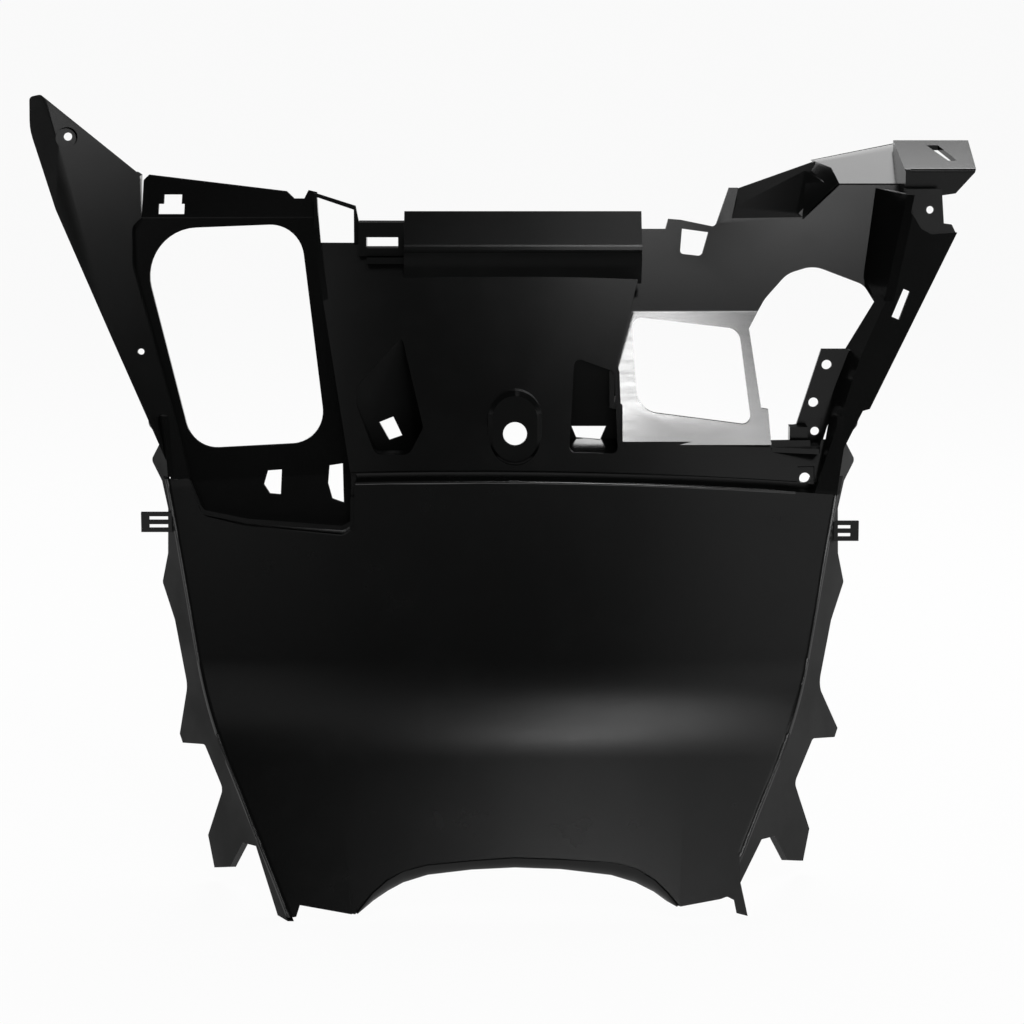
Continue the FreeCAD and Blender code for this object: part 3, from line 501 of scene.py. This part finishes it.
class COVER_OT_moulding(bpy.types.Operator):
    """Makes the cover from the solid's shape, with rounded edges and its plastic finishes"""

    bl_idname = "cover.moulding"
    bl_label = "Moulded cover"
    bl_options = {"REGISTER", "UNDO"}

    def execute(self, context):
        settings = context.scene.cover_moulding
        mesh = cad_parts[COVER_NODE].data.copy()
        mesh.materials.clear()
        cover = bpy.data.objects.new("cover_moulding", mesh)
        context.scene.collection.objects.link(cover)
        alone(cover)
        bpy.ops.object.mode_set(mode="EDIT")
        bpy.ops.mesh.select_all(action="SELECT")
        bpy.ops.mesh.remove_doubles(threshold=MERGE_DISTANCE)
        bpy.ops.mesh.dissolve_limited(angle_limit=settings.flat_angle, use_dissolve_boundaries=False)
        bpy.ops.object.mode_set(mode="OBJECT")
        edges = cover.modifiers.new("edges", "BEVEL")
        edges.width = settings.edge_round
        edges.segments = settings.edge_steps
        edges.limit_method = "ANGLE"
        edges.angle_limit = settings.edge_angle
        bpy.ops.object.modifier_apply(modifier=edges.name)
        bpy.ops.object.shade_smooth_by_angle(angle=SMOOTH_ANGLE)
        flats = cover.modifiers.new("flats", "WEIGHTED_NORMAL")
        flats.mode = "FACE_AREA"
        flats.weight = FLAT_WEIGHT
        flats.keep_sharp = True
        bpy.ops.object.modifier_apply(modifier=flats.name)
        smooth_crown(mesh)
        mesh.materials.append(black_plastic(settings))
        mesh.materials.append(polished_plastic_painted_highlight(settings))
        mesh.materials.append(matt_plastic_painted_shade(settings))
        for face in mesh.polygons:
            # The ring takes the plastic whose stronger reflection paints its highlight.
            if on_ring(face):
                face.material_index = 1
            # The sides and the recess faces take the plastic whose weaker reflection paints their shade.
            elif on_side(face) or in_recess(face):
                face.material_index = 2
        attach(cover, "root")
        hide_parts(COVER_NODE)
        return {"FINISHED"}


def crowned_normal(face_normal, place):
    """Exact normal of the crowned panel at a corner of a face, or None where the face isn't on it."""
    outward = place - CROWN_AXIS
    outward.z = 0.0
    depth = CROWN_AXIS.y - outward.length
    outward.normalize()
    side = 1.0 if face_normal.dot(outward) > 0.0 else -1.0
    leans = [lean for low, high, lean in CROWNED_FACES if low <= place.z <= high]
    if BEND_LOW <= place.z <= BEND_HIGH:
        wall = 0.0 if side > 0.0 else PANEL_WALL
        leans.append(math.atan2(BEND_CENTRE_HEIGHT - place.z, depth - wall - BEND_CENTRE_DEPTH))
    best, nearest = None, CROWN_TOLERANCE
    for lean in leans:
        normal = side * (math.cos(lean) * outward + math.sin(lean) * Vector((0.0, 0.0, 1.0)))
        if face_normal.angle(normal) < nearest:
            best, nearest = normal, face_normal.angle(normal)
    return best


def smooth_crown(mesh):
    """Gives the crowned panels the normals of their true curve, so that light runs evenly over them."""
    normals = [corner.vector.copy() for corner in mesh.corner_normals]
    for face in mesh.polygons:
        for corner in face.loop_indices:
            normal = crowned_normal(face.normal, mesh.vertices[mesh.loops[corner].vertex_index].co)
            if normal is not None:
                normals[corner] = normal
    mesh.normals_split_custom_set(normals)


def on_ring(face):
    """Whether a face belongs to the ring round the right window, whose stronger reflection is a painted
    highlight.
    """
    inside = all(low <= at <= high for low, at, high in zip(RING_LOW, face.center, RING_HIGH))
    return inside and face.normal.dot(RING_NORMAL) > RING_LIKENESS


def on_side(face):
    """Whether a face belongs to the flared side walls, their fins or their tabs."""
    outside = face.center.z < SIDE_TOP and abs(face.center.x) > SIDE_INNER
    return outside and abs(face.normal.x) > SIDE_TURN


def in_recess(face):
    """Whether a face is an upright or hanging one of the middle panel's lip and pockets."""
    x, _, z = face.center
    middle = MIDDLE_LEFT < x < MIDDLE_RIGHT and MIDDLE_LOW < z < MIDDLE_HIGH
    return middle and face.normal.z < POCKET_RISE and face.normal.y < POCKET_FRONT


def thicken(piece, thickness):
    """Gives a thin sheet its wall, its rounded edges and the cover's own finish."""
    wall = piece.modifiers.new("wall", "SOLIDIFY")
    wall.thickness = thickness
    wall.offset = 0.0
    bpy.ops.object.modifier_apply(modifier=wall.name)
    edges = piece.modifiers.new("edges", "BEVEL")
    edges.width = THIN_ROUND * thickness
    edges.segments = 2
    bpy.ops.object.modifier_apply(modifier=edges.name)
    bpy.ops.object.mode_set(mode="EDIT")
    bpy.ops.mesh.select_all(action="SELECT")
    bpy.ops.mesh.normals_make_consistent(inside=False)
    bpy.ops.object.mode_set(mode="OBJECT")
    bpy.ops.object.shade_smooth_by_angle(angle=SMOOTH_ANGLE)
    piece.data.materials.append(bpy.data.materials["black_moulded_plastic"])
    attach(piece, "root")


class COVER_OT_scoop_web(bpy.types.Operator):
    """Closes the scoop of the right wall with its thin moulded web"""

    bl_idname = "cover.scoop_web"
    bl_label = "Web of the scoop"
    bl_options = {"REGISTER", "UNDO"}

    def execute(self, context):
        bpy.ops.object.select_all(action="DESELECT")
        bpy.ops.mesh.primitive_circle_add(vertices=len(SCOOP_WEB), radius=0.01, fill_type="NGON")
        web = context.object
        web.name = "scoop_web"
        for vertex, corner in zip(web.data.vertices, SCOOP_WEB):
            vertex.co = corner
        thicken(web, context.scene.cover_trim.thin_wall)
        return {"FINISHED"}


class COVER_OT_arch_lip(bpy.types.Operator):
    """Rolls a lip down and back from the edge of the arch in the panel's foot"""

    bl_idname = "cover.arch_lip"
    bl_label = "Lip of the arch"
    bl_options = {"REGISTER", "UNDO"}

    def execute(self, context):
        bpy.ops.object.select_all(action="DESELECT")
        bpy.ops.mesh.primitive_grid_add(
            x_subdivisions=len(ARCH_EDGE) - 1,
            y_subdivisions=len(ARCH_ROLL) - 1,
            size=0.02,
        )
        lip = context.object
        lip.name = "arch_lip"
        places = []
        for down, back in ARCH_ROLL:
            for x, y, z, drop in ARCH_EDGE:
                front, top = y - ARCH_PROUD_FRONT, z + ARCH_PROUD_TOP
                places.append((x, front + back * drop, top - down * drop))
        for vertex, place in zip(lip.data.vertices, places):
            vertex.co = place
        thicken(lip, context.scene.cover_trim.thin_wall)
        return {"FINISHED"}


class COVER_OT_bead(bpy.types.Operator):
    """Rounds the top edge of the grained panel, along the seam groove, with a bead whose stronger
    reflection paints a bright line.
    """

    bl_idname = "cover.bead"
    bl_label = "Bead along the seam"
    bl_options = {"REGISTER", "UNDO"}

    def execute(self, context):
        settings = context.scene.cover_moulding
        trim = context.scene.cover_trim
        bpy.ops.object.select_all(action="DESELECT")
        bpy.ops.curve.primitive_nurbs_path_add(location=(0.0, 0.0, 0.0))
        bead = context.object
        bead.name = "seam_bead"
        curve = bead.data
        curve.splines.clear()
        path = curve.splines.new("POLY")
        path.points.add(BEAD_STEPS)
        for step, point in enumerate(path.points):
            x = BEAD_LEFT + (BEAD_RIGHT - BEAD_LEFT) * step / BEAD_STEPS
            z = PANEL_TOP_HEIGHT - (x - settings.seam_peak) ** 2 / (2 * settings.seam_radius)
            crown = (x - CROWN_AXIS.x) ** 2 / (2 * CROWN_AXIS.y)
            y = PANEL_TOP_DEPTH + (z - PANEL_TOP_HEIGHT) * math.tan(PANEL_TOP_LEAN) + crown
            point.co = (x, y + trim.bead_inset, z - trim.bead_inset, 1.0)
        curve.bevel_depth = trim.bead_radius
        curve.bevel_resolution = 4
        curve.use_fill_caps = True
        bpy.ops.object.convert(target="MESH")
        bpy.ops.object.shade_smooth_by_angle(angle=SMOOTH_ANGLE)
        # The bead takes the plastic whose stronger reflection paints a highlight along the edge.
        bead.data.materials.append(bpy.data.materials["black_polished_plastic"])
        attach(bead, "root")
        return {"FINISHED"}


def aim(thing, target):
    """Turns a lamp or the camera towards a point."""
    thing.rotation_euler = (Vector(target) - thing.location).to_track_quat("-Z", "Y").to_euler()


def softbox(context, name, place, target, width, height, power):
    """A rectangular lamp that faces a point."""
    bpy.ops.object.light_add(type="AREA", location=place)
    lamp = context.object
    lamp.name = name
    lamp.data.shape = "RECTANGLE"
    lamp.data.size = width
    lamp.data.size_y = height
    lamp.data.energy = power
    aim(lamp, target)


def pale_floor(settings):
    """Pale matt floor that the camera sees close to white, with the cover's shadow kept."""
    material = bpy.data.materials.new("pale_floor")
    material.use_nodes = True
    tree = material.node_tree
    shader = tree.nodes["Principled BSDF"]
    shader.inputs["Base Color"].default_value = (*settings.floor_colour, 1.0)
    shader.inputs["Roughness"].default_value = 0.9
    shader.inputs["Specular IOR Level"].default_value = 0.1
    glow = node_of(tree, "ShaderNodeEmission", "White", Strength=1.0)
    rays = node_of(tree, "ShaderNodeLightPath", "Rays")
    direct, gloss = rays.outputs["Is Camera Ray"], rays.outputs["Is Glossy Ray"]
    seen = math_of(tree, "MAXIMUM", direct, gloss, "Camera or gloss")
    seen = math_of(tree, "MAXIMUM", seen, rays.outputs["Is Transmission Ray"], "Or through glass")
    share = math_of(tree, "MULTIPLY", seen, settings.floor_glow, "Share of white")
    mix = node_of(tree, "ShaderNodeMixShader", "Floor and white")
    tree.links.new(share, mix.inputs[0])
    tree.links.new(shader.outputs[0], mix.inputs[1])
    tree.links.new(glow.outputs[0], mix.inputs[2])
    tree.links.new(mix.outputs[0], tree.nodes["Material Output"].inputs["Surface"])
    return material


class COVER_OT_stage(bpy.types.Operator):
    """Adds the pale floor, the soft lights, the room and the camera"""

    bl_idname = "cover.stage"
    bl_label = "Stage"
    bl_options = {"REGISTER", "UNDO"}

    def execute(self, context):
        settings = context.scene.cover_studio
        scene = context.scene
        scene.view_settings.view_transform = "Standard"
        target = Vector(settings.camera_target)
        bpy.ops.object.select_all(action="DESELECT")
        under = CAD_BOX[0][2] - FLOOR_GAP
        bpy.ops.mesh.primitive_plane_add(size=FLOOR_SIZE, location=(0.0, 0.0, under))
        floor = context.object
        floor.name = "floor"
        floor.data.materials.append(pale_floor(settings))

        world = bpy.data.worlds.new("room")
        world.use_nodes = True
        background = world.node_tree.nodes["Background"]
        background.inputs["Color"].default_value = (1.0, 1.0, 1.0, 1.0)
        background.inputs["Strength"].default_value = settings.room_light
        scene.world = world

        for name, place, facing, width, height, power, share in LIGHTS:
            softbox(context, name, place, facing, width, height, share * getattr(settings, power))

        elevation = settings.camera_elevation
        away = Vector((0.0, -math.cos(elevation), math.sin(elevation)))
        bpy.ops.object.camera_add(location=target + settings.camera_distance * away)
        camera = context.object
        camera.name = "photo_camera"
        camera.data.lens = settings.camera_lens
        camera.data.sensor_width = SENSOR_WIDTH
        camera.data.clip_end = VIEW_DEPTH
        aim(camera, target)
        scene.camera = camera
        return {"FINISHED"}


class COVER_PT_panel(bpy.types.Panel):
    """Buttons and sizes of the cover"""

    bl_label = "Scooter inner cover"
    bl_idname = "COVER_PT_panel"
    bl_space_type = "VIEW_3D"
    bl_region_type = "UI"
    bl_category = "Cover"

    def draw(self, context):
        layout = self.layout
        scene = context.scene
        for settings, buttons in (
            (scene.cover_moulding, (COVER_OT_moulding,)),
            (scene.cover_trim, (COVER_OT_scoop_web, COVER_OT_arch_lip, COVER_OT_bead)),
            (scene.cover_studio, (COVER_OT_stage,)),
        ):
            box = layout.box()
            for button in buttons:
                box.operator(button.bl_idname)
            for name in settings.__annotations__:
                box.prop(settings, name)


CLASSES = (
    CoverMouldingSettings,
    CoverTrimSettings,
    CoverStudioSettings,
    COVER_OT_moulding,
    COVER_OT_scoop_web,
    COVER_OT_arch_lip,
    COVER_OT_bead,
    COVER_OT_stage,
    COVER_PT_panel,
)


def register():
    """Adds the settings, the operators and the panel."""
    for cls in CLASSES:
        bpy.utils.register_class(cls)
    bpy.types.Scene.cover_moulding = PointerProperty(type=CoverMouldingSettings)
    bpy.types.Scene.cover_trim = PointerProperty(type=CoverTrimSettings)
    bpy.types.Scene.cover_studio = PointerProperty(type=CoverStudioSettings)


def unregister():
    """Takes them away again."""
    del bpy.types.Scene.cover_studio
    del bpy.types.Scene.cover_trim
    del bpy.types.Scene.cover_moulding
    for cls in reversed(CLASSES):
        bpy.utils.unregister_class(cls)


def main():
    """Makes every piece and the stage in order."""
    register()
    bpy.ops.cover.moulding()
    bpy.ops.cover.scoop_web()
    bpy.ops.cover.arch_lip()
    bpy.ops.cover.bead()
    bpy.ops.cover.stage()


if __name__ == "__main__":
    main()
